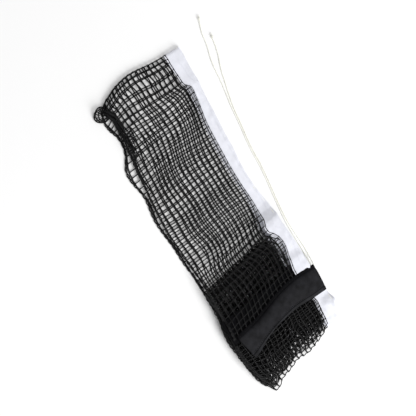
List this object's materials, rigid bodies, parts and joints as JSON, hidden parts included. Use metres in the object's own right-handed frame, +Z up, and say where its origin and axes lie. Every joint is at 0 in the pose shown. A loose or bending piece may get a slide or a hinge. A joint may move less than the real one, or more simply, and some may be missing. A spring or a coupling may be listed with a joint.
{
  "type": "table tennis net",
  "caption": "Table tennis net folded flat in a bundle: black mesh, white tape on its top edge, post sleeves and a loose tension cord.",
  "frame": {"origin": "centre of the bundle's base, on the surface it lies on, measured without the free cord tails", "axes": "+X from the book-like fold to the far end of the folded stack, +Y from the mesh's bottom selvedge to its white tape, +Z up"},
  "size_m": [0.5111, 0.2173, 0.026],
  "materials": {
    "black_mesh": "slightly glossy knotted nylon thread",
    "black_selvedge": "bundled nylon thread",
    "white_tape": "matte woven tape",
    "black_sleeve": "smooth woven nylon with a soft sheen",
    "white_cord": "braided cotton-like cord"
  },
  "bodies": {
    "folded_net": {"netting_lower": "black_mesh", "bottom_selvedge_lower": "black_selvedge", "top_tape_lower": "white_tape", "tension_cord_lower": "white_cord", "netting_panel_1": "black_mesh", "bottom_selvedge_panel_1": "black_selvedge", "top_tape_panel_1": "white_tape", "tension_cord_panel_1": "white_cord", "netting_panel_2": "black_mesh", "bottom_selvedge_panel_2": "black_selvedge", "top_tape_panel_2": "white_tape", "tension_cord_panel_2": "white_cord", "netting_panel_3": "black_mesh", "bottom_selvedge_panel_3": "black_selvedge", "top_tape_panel_3": "white_tape", "tension_cord_panel_3": "white_cord", "netting_panel_4": "black_mesh", "bottom_selvedge_panel_4": "black_selvedge", "top_tape_panel_4": "white_tape", "tension_cord_panel_4": "white_cord", "netting_panel_5": "black_mesh", "bottom_selvedge_panel_5": "black_selvedge", "top_tape_panel_5": "white_tape", "tension_cord_panel_5": "white_cord", "end_sleeve_hidden": "black_sleeve", "cord_tail_outer": "white_cord", "cord_tail_inner": "white_cord", "cord_knot_outer": "white_cord", "cord_knot_inner": "white_cord"},
    "top_layer": {"netting_top": "black_mesh", "top_tape_top": "white_tape", "tension_cord_top": "white_cord", "bottom_selvedge_top": "black_selvedge"},
    "top_sleeve": {"end_sleeve_top": "black_sleeve", "sleeve_seam_binding": "black_sleeve"}
  },
  "joints": [
    {"name": "top_layer_fold", "type": "hinge", "parent": "folded_net", "child": "top_layer", "pos_m": [-0.2475, 0, 0.0032], "axis": [0, -1, 0], "range_deg": [0, 170]},
    {"name": "sleeve_seam", "type": "hinge", "parent": "top_layer", "child": "top_sleeve", "pos_m": [0.13315, 0, 0.0207], "axis": [0, -1, 0], "range_deg": [0, 150]}
  ]
}
